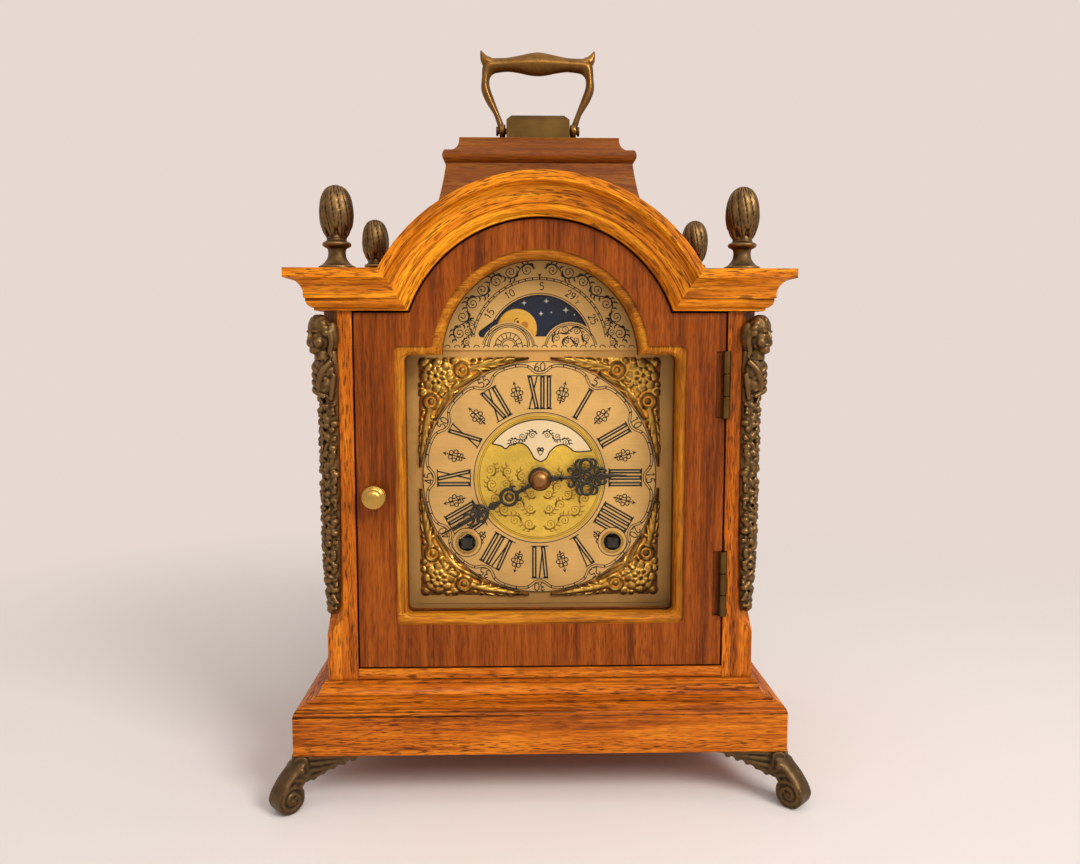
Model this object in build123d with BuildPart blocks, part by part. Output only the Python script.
from build123d import *
import math
import os

# Oak table clock with an arched door, a caddy top and cast brass mounts.
# Millimetres. X runs to the right seen from the front, Y to the back and Z up.
# The origin is on the table, under the middle of the plinth.

# Case
foot_height = 21.3
plinth_face_height = 14.8
plinth_moulding_height = 11.5
plinth_projection = 12.0
case_width = 171.2
case_depth = 112.0
case_height = 147.8
case_wall = 12.0
front_thickness = 14.0
bottom_thickness = 4.5
cornice_height = 15.6
cornice_projection = 11.5
arch_drop = 18.9
arch_radius = 55.0
roof_thickness = 8.0
vault_margin = 5.0
vault_thickness = 6.0
back_thickness = 8.0
back_lintel_height = 4.0
corner_chamfer = 6.5
chamfer_start = 25.0
chamfer_stop_length = 6.0
chamfer_stop_tip_share = 0.02

# Mouldings: a pair is a point, two pairs are the middle and the end of an arc.
# Each pair is a share of the projection, then a share of the height.
plinth_profile_shares = [
    (1.0, 0.0),
    ((0.92, 0.26), (0.68, 0.40)),
    (0.60, 0.40),
    (0.60, 0.48),
    ((0.32, 0.58), (0.20, 0.90)),
    (0.12, 0.90),
    (0.12, 1.0),
]
cornice_profile_shares = [
    (0.17, 0.0),
    (0.17, 0.06),
    ((0.35, 0.14), (0.40, 0.30)),
    (0.46, 0.30),
    (0.46, 0.37),
    ((0.58, 0.64), (0.93, 0.77)),
    (1.0, 0.77),
    (1.0, 1.0),
]

# Caddy and handle
caddy_half_width = 38.0
caddy_half_depth = 34.0
skirt_base_rise = 37.5
skirt_height = 42.0
skirt_flare = 13.0
skirt_wall = 6.0
skirt_profile_shares = [(1.0, 0.0), ((0.40, 0.45), (0.0, 1.0))]
cap_inset = 5.0
cap_projection = 6.5
cap_height = 11.3
cap_profile_shares = [
    (0.77, 0.0),
    ((1.0, 0.23), (0.86, 0.46)),
    (0.72, 0.46),
    ((0.22, 0.60), (0.0, 0.90)),
    (0.0, 1.0),
]
block_half_width = 13.8
block_half_depth = 6.0
block_height = 15.0
block_chamfer = 2.2
handle_pivot_rise = 9.0
handle_half_width = 25.4
handle_rise = 34.8
handle_depth = 6.0
handle_eye_radius = 3.0
handle_eye_width = 2.6
handle_eye_gap = 0.5
handle_pin_radius = 1.3
handle_pin_head_radius = 2.0
handle_pin_head_length = 1.0
# Handle outline: shares of its half width and of its rise over the pivot
handle_outer_shares = [(0.67, 0.0), (0.77, 0.21), (0.90, 0.36), (0.985, 0.51), (0.955, 0.78), (0.99, 1.0)]
handle_top_shares = [(0.99, 1.0), (0.75, 0.90), (0.35, 0.93), (0.0, 0.975)]
handle_inner_shares = [(0.0, 0.68), (0.45, 0.73), (0.77, 0.69), (0.84, 0.58), (0.75, 0.36), (0.565, 0.0)]

# Finials
finial_height = 33.0
finial_radius = 7.2
finial_side_inset = 6.0
finial_front_setback = 5.0
finial_back_setback = 10.0
# Finial outline: shares of the base radius and of the height
finial_profile_shares = [
    (1.0, 0.0),
    (1.0, 0.05),
    ((0.62, 0.10), (0.47, 0.22)),
    (0.47, 0.26),
    ((0.86, 0.31), (0.62, 0.36)),
    ((0.90, 0.54), (0.52, 0.80)),
    ((0.34, 0.88), (0.14, 0.94)),
    ((0.17, 0.97), (0.05, 1.0)),
    (0.0, 1.0),
]

# Feet
scroll_radius = 6.0
scroll_sink = 0.4
scroll_reach = 3.1
foot_thickness = 9.0
foot_shoulder = 0.5
foot_heel = 15.0
foot_spine_shares = (0.40, 0.50)
foot_heel_shares = (0.40, 0.68)
foot_wing_length = 29.0
foot_wing_drop = 10.0
foot_wing_inset = 1.5
foot_wing_thickness = 4.0
foot_wing_shares = (0.38, 0.45)

# Corner mounts
mount_top_margin = 1.2
mount_height = 121.0
mount_half_width = 4.4
mount_relief = 6.5
mount_head_radius = 5.2
mount_head_relief = 10.0
# Mount outline: shares of its half width and of its height, from the bottom up
mount_outline_shares = [(0.10, 0.0), (0.62, 0.14), (0.95, 0.45), (0.85, 0.74), (1.0, 0.82), (0.55, 0.88)]
mount_head_share = 0.935

# Front door
door_gap = 0.8
door_thickness = 13.5
door_edge_chamfer = 1.2
window_half_width = 54.0
window_below_dial = 53.0
window_shoulder_rise = 1.7
window_arch_radius = 39.2
window_corner_radius = 2.4
window_step_width = 3.6
window_step_depth = 0.9
window_round = 2.6
glass_rebate = 4.0
glass_setback = 7.0
glass_thickness = 2.0
glass_clearance = 0.3
bead_thickness = 2.5
knob_inset = 7.4
knob_drop = 3.9
knob_radius = 5.0
knob_length = 8.0
knob_shank_radius = 1.6
knob_shank_length = 9.0
knob_shank_clearance = 0.05
# Knob outline: shares of its radius and of its length
knob_profile_shares = [
    (0.70, 0.0),
    (0.70, 0.12),
    ((0.42, 0.24), (0.46, 0.42)),
    ((1.0, 0.52), (0.86, 0.84)),
    ((0.55, 0.97), (0.08, 1.0)),
    (0.0, 1.0),
]

# Butt hinges of both doors
hinge_length = 26.4
hinge_barrel_radius = 1.5
hinge_pin_radius = 0.7
hinge_pin_clearance = 0.05
hinge_proud = 1.0
hinge_leaf_thickness = 0.8
hinge_leaf_depth = 9.0
hinge_leaf_setback = 1.9
hinge_knuckle_gap = 0.2
hinge_notch_clearance = 0.4
hinge_recess_width = 3.6
hinge_recess_depth = 1.0
lower_hinge_rise = 33.5
upper_hinge_drop = 28.2
rear_lower_hinge_rise = 30.0
rear_upper_hinge_drop = 30.0

# Rear door
rear_field_margin = 16.0
rear_field_depth = 1.5
sound_hole_radius = 3.0
sound_hole_pitch = 14.0
sound_hole_columns = 5
sound_hole_rows = 3

# Dial
dial_setback = 20.0
dial_below_arch = 49.7
dial_plate_half_width = 66.0
dial_plate_below = 61.0
dial_plate_shoulder = 6.0
dial_plate_arch_radius = 47.0
dial_plate_thickness = 1.5
batten_overlap = 6.0
batten_top_rise = 14.0
ring_radius = 48.9
ring_inner_radius = 26.8
ring_thickness = 1.0
centre_disc_clearance = 0.1
centre_disc_thickness = 0.8
pipe_hole_radius = 3.8
winding_hole_offset = 30.6
winding_hole_drop = 27.2
bush_radius = 4.0
bush_bore_radius = 3.6
bush_flange_radius = 4.8
bush_flange_thickness = 0.6
bush_clearance = 0.05
spandrel_half = 50.7
spandrel_ring_gap = 0.5
spandrel_arm_start = 9.0
spandrel_thickness = 2.2
arch_plate_radius = 43.5
arch_plate_rise = 3.6
moon_rise = 5.0
moon_opening_radius = 21.2
moon_sill_rise = 4.1
moon_hump_offset = 12.8
moon_hump_drop = 1.5
moon_hump_radius = 11.6
moon_tail_offset = 20.6
moon_tail_rise = 7.5
moon_tail_length = 7.5
moon_tail_width = 3.2
moon_tail_angle = 36.0
moon_window_margin = 0.6
moon_disc_radius = 28.5
moon_disc_thickness = 0.8
moon_disc_gap = 0.9
moon_stud_radius = 2.0
moon_stud_clearance = 0.06
moon_stud_head_radius = 3.2
moon_stud_head_thickness = 0.8
moon_stud_head_gap = 0.3

# Hands, at the angles clockwise from twelve
minute_hand_angle = 240.9
hour_hand_angle = 87.5
minute_hand_length = 47.5
hour_hand_length = 36.0
hand_thickness = 0.8
hour_hand_height = 3.8
minute_hand_height = 6.1
hour_hub_radius = 5.0
minute_hub_radius = 4.4
nut_radius = 4.0
nut_height = 2.7
nut_bore_depth = 0.8
# Nut outline: shares of its radius and of its height
nut_profile_shares = [(1.0, 0.0), ((0.74, 0.62), (0.10, 1.0)), (0.0, 1.0)]
# Blades: shares of the length along the hand and of the length as half width
hour_blade_shares = [
    (0.10, 0.040), (0.19, 0.022), (0.24, 0.042), (0.29, 0.022), (0.38, 0.022), (0.45, 0.060),
    (0.53, 0.095), (0.63, 0.060), (0.70, 0.030), (0.84, 0.022), (1.0, 0.004),
]
minute_blade_shares = [
    (0.07, 0.030), (0.20, 0.016), (0.38, 0.016), (0.46, 0.034), (0.51, 0.015), (0.57, 0.018),
    (0.66, 0.030), (0.73, 0.013), (0.80, 0.021), (0.88, 0.010), (1.0, 0.003),
]
# Pierced loops: shares along, aside, outer radius and hole radius
hour_loop_shares = [(0.55, 0.135, 0.100, 0.062), (0.66, 0.075, 0.062, 0.032), (0.43, 0.070, 0.056, 0.028)]
minute_loop_shares = [(0.307, 0.0, 0.088, 0.056), (0.605, 0.052, 0.050, 0.027)]
hour_hole_shares = (0.53, 0.045)

# Movement
movement_gap = 8.5
plate_thickness = 2.0
plate_spacing = 36.0
plate_side_margin = 24.4
plate_below = 54.0
plate_above = 44.0
pillar_radius = 3.5
pillar_inset = 6.0
dial_foot_radius = 2.5
dial_foot_offset = 46.0
dial_foot_rise = 40.0
pivot_clearance = 0.06
pivot_radius = 1.0
arbor_radius = 1.5
arbor_end_gap = 0.3
centre_arbor_radius = 2.0
pipe_radius = 3.2
pipe_clearance = 0.08
minute_stud_radius = 1.5
minute_stud_angle = -30.0

# Gears: tooth counts, modules and tooth shape
# The intermediate arbor's reaches are shares of the way from the time barrel to the centre
barrel_reach_share = 0.59
centre_reach_share = 0.43
pressure_angle = math.radians(20.0)
gear_backlash = 0.10
wheel_tip_share = 0.60
pinion_tip_share = 0.85
tooth_root_share = 1.15
wheel_thickness = 1.4
pinion_margin = 0.4
great_wheel_teeth = 48
intermediate_pinion_teeth = 12
intermediate_wheel_teeth = 48
centre_pinion_teeth = 10
centre_wheel_teeth = 60
centre_module = 0.5
third_pinion_teeth = 10
third_wheel_teeth = 50
third_angle = 50.0
cannon_teeth = 12
minute_wheel_teeth = 36
motion_module = 0.6
minute_pinion_teeth = 10
hour_wheel_teeth = 40
motion_wheel_setback = 1.2
hour_wheel_setback = 3.5
crossing_count = 5
crossing_ring_share = 0.58
crossing_hole_share = 0.20

# Barrels and winding arbors
barrel_radius = 17.5
barrel_length = 22.0
barrel_setback = 6.0
barrel_wall = 1.2
winding_arbor_radius = 3.0
winding_pivot_radius = 2.0
winding_square = 4.2
winding_square_length = 6.0
winding_square_proud = 2.0
ratchet_radius = 9.0
ratchet_teeth = 20
ratchet_depth_share = 0.84
ratchet_thickness = 1.6
ratchet_gap = 0.5

# Escapement, bell and hammer
escapement_offset = -25.0
escapement_rise = 22.0
escapement_half = 14.5
escapement_plate_thickness = 2.0
balance_radius = 10.5
balance_rim_width = 1.6
balance_thickness = 1.8
balance_staff_radius = 0.8
balance_spoke_width = 1.4
balance_chamber = 8.0
cock_width = 7.0
bell_radius = 26.0
bell_height = 20.0
bell_wall = 1.5
bell_rise = 8.0
bell_setback = 8.0
bell_post_radius = 2.0
bell_stand_half_width = 5.0
bell_stand_drop = 22.0
bell_stand_thickness = 2.0
# Bell outline outside: shares of its radius and height, from the mouth up
bell_profile_shares = [(1.0, 0.0), ((0.86, 0.30), (0.78, 0.62)), ((0.46, 0.90), (0.08, 1.0)), (0.0, 1.0)]
hammer_offset = 30.0
hammer_rise = 4.0
hammer_arbor_radius = 1.5
hammer_arm_half_width = 1.2
hammer_arm_thickness = 2.0
hammer_head_radius = 3.5
hammer_head_length = 8.0
hammer_rest_gap = 1.5
hammer_head_rise = 4.0
hammer_tail_length = 10.0
hammer_plate_gap = 2.0

# How far a cut runs past the face that it opens, and how near a face must lie to be picked by its place
overrun = 1.0
pick_tolerance = 0.05

# Places worked out from the sizes above
case_half = case_width / 2
inner_half = case_half - case_wall
plinth_half = case_half + plinth_projection
plinth_front = -(case_depth + plinth_projection) / 2
case_front = plinth_front + plinth_projection
case_back = case_front + case_depth
case_middle = (case_front + case_back) / 2
stile_back = case_front + front_thickness
plinth_top = foot_height + plinth_face_height
case_bottom = plinth_top + plinth_moulding_height
case_floor = case_bottom + bottom_thickness
cornice_bottom = case_bottom + case_height
cornice_top = cornice_bottom + cornice_height
side_top = cornice_top - roof_thickness
arch_z = cornice_bottom - arch_drop
vault_radius = arch_radius + cornice_height - vault_margin
vault_inner_radius = vault_radius - vault_thickness
skirt_base = arch_z + skirt_base_rise
neck_z = skirt_base + skirt_height
cap_top = neck_z + cap_height
pivot_z = cap_top + handle_pivot_rise
door_half = inner_half - door_gap
door_bottom = case_floor + door_gap
door_shoulder = cornice_bottom - door_gap
door_back = case_front + door_thickness
dial_y = case_front + dial_setback
dial_z = arch_z - dial_below_arch
dial_back = dial_y + dial_plate_thickness
moon_z = arch_z + moon_rise
glass_front = case_front + glass_setback
glass_back = glass_front + glass_thickness
plate_front = dial_back + movement_gap
plate_inner = plate_front + plate_thickness
back_plate_front = plate_inner + plate_spacing
back_plate_back = back_plate_front + plate_thickness
winding_z = dial_z - winding_hole_drop
plate_half_width = winding_hole_offset + plate_side_margin
arch_axis = Axis((0, 0, arch_z), (0, 1, 0))
whole_depth = case_depth + plinth_projection + overrun


def at_depth(y):
    """Plane facing the front at depth y: its x is X, its y is Z, and an extrusion runs to the front."""
    return Plane.XZ.offset(-y)


def lying(x, z):
    """Level plane through a front-to-back axis at x and z: its x is the radius, its y is Y."""
    return Plane(origin=(x, 0, z), x_dir=(1, 0, 0), z_dir=(0, 0, 1))


def draw_profile(shares, place):
    """Draws lines and arcs through the placed shares, and returns the first and last point."""
    first = place(shares[0])
    last = first
    for step in shares[1:]:
        if isinstance(step[0], tuple):
            middle = place(step[0])
            end = place(step[1])
            ThreePointArc(last, middle, end)
        else:
            end = place(step)
            Line(last, end)
        last = end
    return first, last


def moulded_section(plane, near, far, base, projection, height, shares, skirt=0, far_moulded=True):
    """Section of a block whose near wall, and mostly its far wall too, carries a moulding."""
    with BuildSketch(plane) as section:
        with BuildLine():
            near_first, near_last = draw_profile(
                shares, lambda share: (near - share[0] * projection, base + share[1] * height)
            )
            if far_moulded:
                far_first, far_last = draw_profile(
                    shares, lambda share: (far + share[0] * projection, base + share[1] * height)
                )
            else:
                far_first = (far, base)
                far_last = (far, base + height)
                Line(far_first, far_last)
            Line(near_last, far_last)
            if skirt:
                near_foot = (near_first[0], base - skirt)
                far_foot = (far_first[0], base - skirt)
                Polyline(near_first, near_foot, far_foot, far_first)
            else:
                Line(near_first, far_first)
        make_face()
    return section.sketch


def cut_to_plan(block, corners, low, high):
    """The part of a block that stands over a plan outline."""
    with BuildPart() as piece:
        add(block)
        with BuildSketch(Plane.XY.offset(low)):
            Polygon(*corners, align=None)
        extrude(amount=high - low, mode=Mode.INTERSECT)
    return piece.part


def meeting_point(first, first_reach, second, second_reach, side):
    """Point at the given reaches from two points, on the side that the sign names."""
    across = (second[0] - first[0], second[1] - first[1])
    span = math.hypot(*across)
    along = (span**2 + first_reach**2 - second_reach**2) / (2 * span)
    aside = side * math.sqrt(first_reach**2 - along**2)
    unit = (across[0] / span, across[1] / span)
    return (
        first[0] + along * unit[0] - aside * unit[1],
        first[1] + along * unit[1] + aside * unit[0],
    )


def bearing(start, end):
    """Angle of the line from start to end, from X towards Z."""
    return math.atan2(end[1] - start[1], end[0] - start[0])


def mesh_reach(module, teeth, other_teeth):
    """Distance between the axes of two gears in mesh."""
    return module * (teeth + other_teeth) / 2


def mesh_module(reach, teeth, other_teeth):
    """Module of two gears whose axes are the given reach apart."""
    return 2 * reach / (teeth + other_teeth)


def facing_gap(direction, teeth):
    """Turn that puts the middle of a tooth gap in the given direction."""
    return direction + math.pi / teeth


def gear_sketch(centre, back, teeth, module, tip_share, turn, crossed=False):
    """Gear outline with involute flanks, each drawn as two chords, on the plane at the back of the gear."""
    pitch_radius = teeth * module / 2
    base_radius = pitch_radius * math.cos(pressure_angle)
    root_radius = pitch_radius - tooth_root_share * module
    tip_radius = pitch_radius + tip_share * module
    half_tooth = math.pi / (2 * teeth) - gear_backlash / (2 * pitch_radius)
    flank_radii = (root_radius, pitch_radius, tip_radius)

    def involute(angle):
        return math.tan(angle) - angle

    def half_angle(radius):
        local_angle = math.acos(min(1.0, base_radius / radius))
        return half_tooth + involute(pressure_angle) - involute(local_angle)

    def point(radius, angle):
        return (centre[0] + radius * math.cos(angle), centre[1] + radius * math.sin(angle))

    outline = []
    for tooth in range(teeth):
        middle = turn + 2 * math.pi * tooth / teeth
        outline += [point(radius, middle - half_angle(radius)) for radius in flank_radii]
        outline += [point(radius, middle + half_angle(radius)) for radius in reversed(flank_radii)]
    with BuildSketch(at_depth(back)) as gear:
        with BuildLine():
            Polyline(*outline, close=True)
        make_face()
        if crossed:
            with Locations(centre):
                with PolarLocations(crossing_ring_share * pitch_radius, crossing_count):
                    Circle(crossing_hole_share * pitch_radius, mode=Mode.SUBTRACT)
    return gear.sketch


def rod_sketch(centre, back, radius):
    """Round section of a rod that lies front to back, on the plane at its back end."""
    with BuildSketch(at_depth(back)) as rod:
        with Locations(centre):
            Circle(radius)
    return rod.sketch


def save(piece, name):
    """Labels a finished piece and writes it."""
    piece.label = name
    export_step(piece, f"parts/{name}.step")


def save_group(pieces, name):
    """Writes separate solids as one node."""
    save(Compound(children=list(pieces)), name)


os.makedirs("parts", exist_ok=True)

# Plinth: four mitred boards round a hollow, moulded at the front and sides
with BuildPart() as plinth_block:
    extrude(
        moulded_section(
            at_depth(case_back), -case_half, case_half, plinth_top,
            plinth_projection, plinth_moulding_height, plinth_profile_shares, plinth_face_height,
        ),
        amount=whole_depth,
    )
    extrude(
        moulded_section(
            Plane.YZ, case_front, case_back, plinth_top,
            plinth_projection, plinth_moulding_height, plinth_profile_shares, plinth_face_height, False,
        ),
        amount=plinth_half + overrun,
        both=True,
        mode=Mode.INTERSECT,
    )
    with BuildSketch(Plane.XY.offset(foot_height - overrun)):
        with Locations((0, case_middle)):
            Rectangle(2 * inner_half, case_depth - 2 * case_wall)
    extrude(amount=case_bottom - foot_height + 2 * overrun, mode=Mode.SUBTRACT)

hollow_front = case_front + case_wall
hollow_back = case_back - case_wall
plinth_plans = [
    [(-plinth_half, plinth_front), (plinth_half, plinth_front), (inner_half, hollow_front),
     (-inner_half, hollow_front)],
    [(-plinth_half, plinth_front), (-inner_half, hollow_front), (-inner_half, case_back),
     (-plinth_half, case_back)],
    [(plinth_half, plinth_front), (plinth_half, case_back), (inner_half, case_back),
     (inner_half, hollow_front)],
    [(-inner_half, hollow_back), (inner_half, hollow_back), (inner_half, case_back),
     (-inner_half, case_back)],
]
save_group(
    (cut_to_plan(plinth_block.part, plan, foot_height, case_bottom) for plan in plinth_plans), "plinth"
)

# Bottom board, whose front edge is the sill under the door
with BuildPart() as bottom_board:
    with BuildSketch(Plane.XY.offset(case_bottom)):
        with Locations((0, case_middle)):
            Rectangle(2 * inner_half, case_depth)
    extrude(amount=bottom_thickness)
save(bottom_board.part, "bottom_board")

# Side panels
with BuildPart() as side_panel:
    with BuildSketch(Plane.XY.offset(case_bottom)):
        with Locations((-(inner_half + case_half) / 2, (stile_back + case_back) / 2)):
            Rectangle(case_wall, case_back - stile_back)
    extrude(amount=side_top - case_bottom)
save(side_panel.part, "side_left")

# Front stiles with a chamfered corner that runs out in a slope above the foot of the stile
chamfer_z = case_bottom + chamfer_start
corner_triangle = [
    (-case_half, case_front),
    (-case_half + corner_chamfer, case_front),
    (-case_half, case_front + corner_chamfer),
]
stop_triangle = [
    (
        -case_half + chamfer_stop_tip_share * (x + case_half),
        case_front + chamfer_stop_tip_share * (y - case_front),
    )
    for x, y in corner_triangle
]
with BuildPart() as stile:
    with BuildSketch(Plane.XY.offset(case_bottom)):
        with Locations((-(inner_half + case_half) / 2, (case_front + stile_back) / 2)):
            Rectangle(case_wall, front_thickness)
    extrude(amount=case_height)
    with BuildSketch(Plane.XY.offset(chamfer_z)):
        Polygon(*corner_triangle, align=None)
    extrude(amount=case_height, mode=Mode.SUBTRACT)
    with BuildSketch(Plane.XY.offset(chamfer_z - chamfer_stop_length)):
        Polygon(*stop_triangle, align=None)
    with BuildSketch(Plane.XY.offset(chamfer_z)):
        Polygon(*corner_triangle, align=None)
    loft(ruled=True, mode=Mode.SUBTRACT)
save(stile.part, "stile_left")

# Heights of the butt hinges
front_hinge_heights = (door_bottom + lower_hinge_rise, door_shoulder - upper_hinge_drop)
rear_door_top = side_top - back_lintel_height - door_gap
rear_hinge_heights = (door_bottom + rear_lower_hinge_rise, rear_door_top - rear_upper_hinge_drop)
hinge_x = inner_half - door_gap / 2
front_hinge_y = case_front - hinge_proud
rear_hinge_y = case_back + hinge_proud


def hinge_cuts(face_x, inward, hinge_y, into, height):
    """Solids to take out of an edge for one hinge: the barrel's notch and the leaf's pocket."""
    low = height - hinge_length / 2
    leaf_end = hinge_y + into * (hinge_leaf_setback + hinge_leaf_depth)
    with BuildPart() as cuts:
        with BuildSketch(Plane.XY.offset(low - hinge_knuckle_gap)):
            with Locations((hinge_x, hinge_y)):
                Circle(hinge_barrel_radius + hinge_notch_clearance)
        extrude(amount=hinge_length + 2 * hinge_knuckle_gap)
        pocket = [
            (face_x, hinge_y),
            (face_x + inward * hinge_leaf_thickness, hinge_y),
            (face_x + inward * hinge_leaf_thickness, leaf_end),
            (face_x, leaf_end),
        ]
        with BuildSketch(Plane.XY.offset(low)):
            Polygon(*pocket, align=None)
        extrude(amount=hinge_length)
    return cuts.part


def hinge_leaf(face_x, inward, hinge_y, into, height, spans):
    """One leaf with its knuckles: spans are the lower and upper ends of the knuckles, as thirds."""
    low = height - hinge_length / 2
    knuckle = hinge_length / 3
    near = hinge_y + into * hinge_leaf_setback
    far = near + into * hinge_leaf_depth
    inside = face_x + inward * hinge_leaf_thickness
    with BuildPart() as leaf:
        with BuildSketch(Plane.XY.offset(low)):
            Polygon((face_x, near), (inside, near), (inside, far), (face_x, far), align=None)
        extrude(amount=hinge_length)
        for start, end in spans:
            foot = low + start * knuckle + (hinge_knuckle_gap if start else 0)
            top = low + end * knuckle - (hinge_knuckle_gap if end < 3 else 0)
            with BuildSketch(Plane.XY.offset(foot)):
                Polygon((face_x, hinge_y), (inside, hinge_y), (inside, near), (face_x, near), align=None)
                with Locations((hinge_x, hinge_y)):
                    Circle(hinge_barrel_radius)
            extrude(amount=top - foot)
        with BuildSketch(Plane.XY.offset(low - overrun)):
            with Locations((hinge_x, hinge_y)):
                Circle(hinge_pin_radius + hinge_pin_clearance)
        extrude(amount=hinge_length + 2 * overrun, mode=Mode.SUBTRACT)
    return leaf.part


def hinge_pin(hinge_y, height):
    """Pin through one hinge."""
    with BuildPart() as pin:
        with BuildSketch(Plane.XY.offset(height - hinge_length / 2)):
            with Locations((hinge_x, hinge_y)):
                Circle(hinge_pin_radius)
        extrude(amount=hinge_length)
    return pin.part


door_spans = [(1, 2)]
case_spans = [(0, 1), (2, 3)]
front_door_leaves = [hinge_leaf(door_half, -1, front_hinge_y, 1, z, door_spans) for z in front_hinge_heights]
rear_door_leaves = [hinge_leaf(door_half, -1, rear_hinge_y, -1, z, door_spans) for z in rear_hinge_heights]
front_case_leaves = [hinge_leaf(inner_half, 1, front_hinge_y, 1, z, case_spans) for z in front_hinge_heights]
rear_case_leaves = [hinge_leaf(inner_half, 1, rear_hinge_y, -1, z, case_spans) for z in rear_hinge_heights]
save_group(front_door_leaves, "door_hinge_leaves")
save_group(rear_door_leaves, "rear_door_hinge_leaves")
save_group(front_case_leaves + rear_case_leaves, "case_hinge_leaves")
hinge_pins = [hinge_pin(front_hinge_y, z) for z in front_hinge_heights]
hinge_pins += [hinge_pin(rear_hinge_y, z) for z in rear_hinge_heights]
save_group(hinge_pins, "hinge_pins")

# Hinge side of the case, cut for the fixed leaves
with BuildPart() as stile_right:
    add(mirror(stile.part, about=Plane.YZ))
    for z in front_hinge_heights:
        add(hinge_cuts(inner_half, 1, front_hinge_y, 1, z), mode=Mode.SUBTRACT)
save(stile_right.part, "stile_right")
with BuildPart() as side_right:
    add(mirror(side_panel.part, about=Plane.YZ))
    for z in rear_hinge_heights:
        add(hinge_cuts(inner_half, 1, rear_hinge_y, -1, z), mode=Mode.SUBTRACT)
save(side_right.part, "side_right")

# Front arch board between the stiles and the cornice
with BuildPart() as arch_frame:
    with BuildSketch(at_depth(stile_back)):
        with Locations((0, (cornice_bottom + cornice_top) / 2)):
            Rectangle(case_width, cornice_height)
        with Locations((0, arch_z)):
            Circle(vault_radius)
        with Locations((0, cornice_bottom - arch_radius)):
            Rectangle(case_width, 2 * arch_radius, mode=Mode.SUBTRACT)
        with Locations((0, arch_z)):
            Circle(arch_radius, mode=Mode.SUBTRACT)
    extrude(amount=front_thickness)
save(arch_frame.part, "arch_frame")

# Roof: a barrel vault behind the arch, between two flat shoulders
with BuildPart() as roof_vault:
    with BuildSketch(at_depth(case_back)):
        with Locations((0, arch_z)):
            Circle(vault_radius)
            Circle(vault_inner_radius, mode=Mode.SUBTRACT)
        with Locations((0, side_top - vault_radius)):
            Rectangle(case_width, 2 * vault_radius, mode=Mode.SUBTRACT)
    extrude(amount=case_back - stile_back)
with BuildPart() as roof_shoulder:
    with BuildSketch(at_depth(case_back)):
        with Locations((-case_half / 2, (side_top + cornice_top) / 2)):
            Rectangle(case_half, roof_thickness)
        with Locations((0, arch_z)):
            Circle(vault_radius, mode=Mode.SUBTRACT)
    extrude(amount=case_back - stile_back)
save_group(
    [roof_vault.part, roof_shoulder.part, mirror(roof_shoulder.part, about=Plane.YZ)], "roof"
)

# Board that closes the vault at the back, over the rear door
with BuildPart() as back_arch:
    with BuildSketch(at_depth(case_back)):
        with Locations((0, arch_z)):
            Circle(vault_inner_radius)
        with Locations((0, side_top - vault_radius)):
            Rectangle(case_width, 2 * vault_radius, mode=Mode.SUBTRACT)
        with Locations((0, side_top - back_lintel_height / 2)):
            Rectangle(2 * inner_half, back_lintel_height)
    extrude(amount=back_thickness)
save(back_arch.part, "back_arch")

# Cornice: two straight front mouldings with side returns, mitred against the arch
mitre_foot = math.sqrt(arch_radius**2 - arch_drop**2)
mitre_head = math.sqrt((arch_radius + cornice_height) ** 2 - (arch_drop + cornice_height) ** 2)
mitre_slope = (mitre_head - mitre_foot) / cornice_height
arch_crown = arch_z + arch_radius + cornice_height + overrun
crown_half = mitre_foot + mitre_slope * (arch_crown - cornice_bottom)
arch_wedge = [
    (-mitre_foot, cornice_bottom),
    (mitre_foot, cornice_bottom),
    (crown_half, arch_crown),
    (-crown_half, arch_crown),
]
with BuildPart() as cornice_block:
    extrude(
        moulded_section(
            at_depth(case_back), -case_half, case_half, cornice_bottom,
            cornice_projection, cornice_height, cornice_profile_shares,
        ),
        amount=whole_depth,
    )
    extrude(
        moulded_section(
            Plane.YZ, case_front, case_back, cornice_bottom,
            cornice_projection, cornice_height, cornice_profile_shares, 0, False,
        ),
        amount=plinth_half + overrun,
        both=True,
        mode=Mode.INTERSECT,
    )
    with BuildSketch(Plane.XY.offset(cornice_bottom - overrun)):
        with Locations((0, case_middle + overrun / 2)):
            Rectangle(case_width, case_depth + overrun)
    extrude(amount=cornice_height + 2 * overrun, mode=Mode.SUBTRACT)
    with BuildSketch(at_depth(case_back + overrun)):
        Polygon(*arch_wedge, align=None)
    extrude(amount=whole_depth + overrun, mode=Mode.SUBTRACT)
cornice_half = case_half + cornice_projection
cornice_front = case_front - cornice_projection
left_front_plan = [
    (-cornice_half, cornice_front), (0, cornice_front), (0, case_front), (-case_half, case_front),
]
left_return_plan = [
    (-cornice_half, cornice_front),
    (-case_half, case_front),
    (-case_half, case_back),
    (-cornice_half, case_back),
]
left_cornices = [
    cut_to_plan(cornice_block.part, plan, cornice_bottom, cornice_top)
    for plan in (left_front_plan, left_return_plan)
]
save_group(left_cornices + [mirror(piece, about=Plane.YZ) for piece in left_cornices], "cornice_shoulders")

with BuildPart() as cornice_arch:
    with BuildSketch(Plane.YZ) as arch_section:
        with BuildLine():
            arch_first, arch_last = draw_profile(
                cornice_profile_shares,
                lambda share: (
                    case_front - share[0] * cornice_projection,
                    arch_z + arch_radius + share[1] * cornice_height,
                ),
            )
            Polyline(arch_last, (case_front, arch_last[1]), (case_front, arch_first[1]), arch_first)
        make_face()
    revolve(axis=arch_axis)
    with BuildSketch(at_depth(case_front)):
        Polygon(*arch_wedge, align=None)
    extrude(amount=cornice_projection + overrun, mode=Mode.INTERSECT)
save(cornice_arch.part, "cornice_arch")

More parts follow.
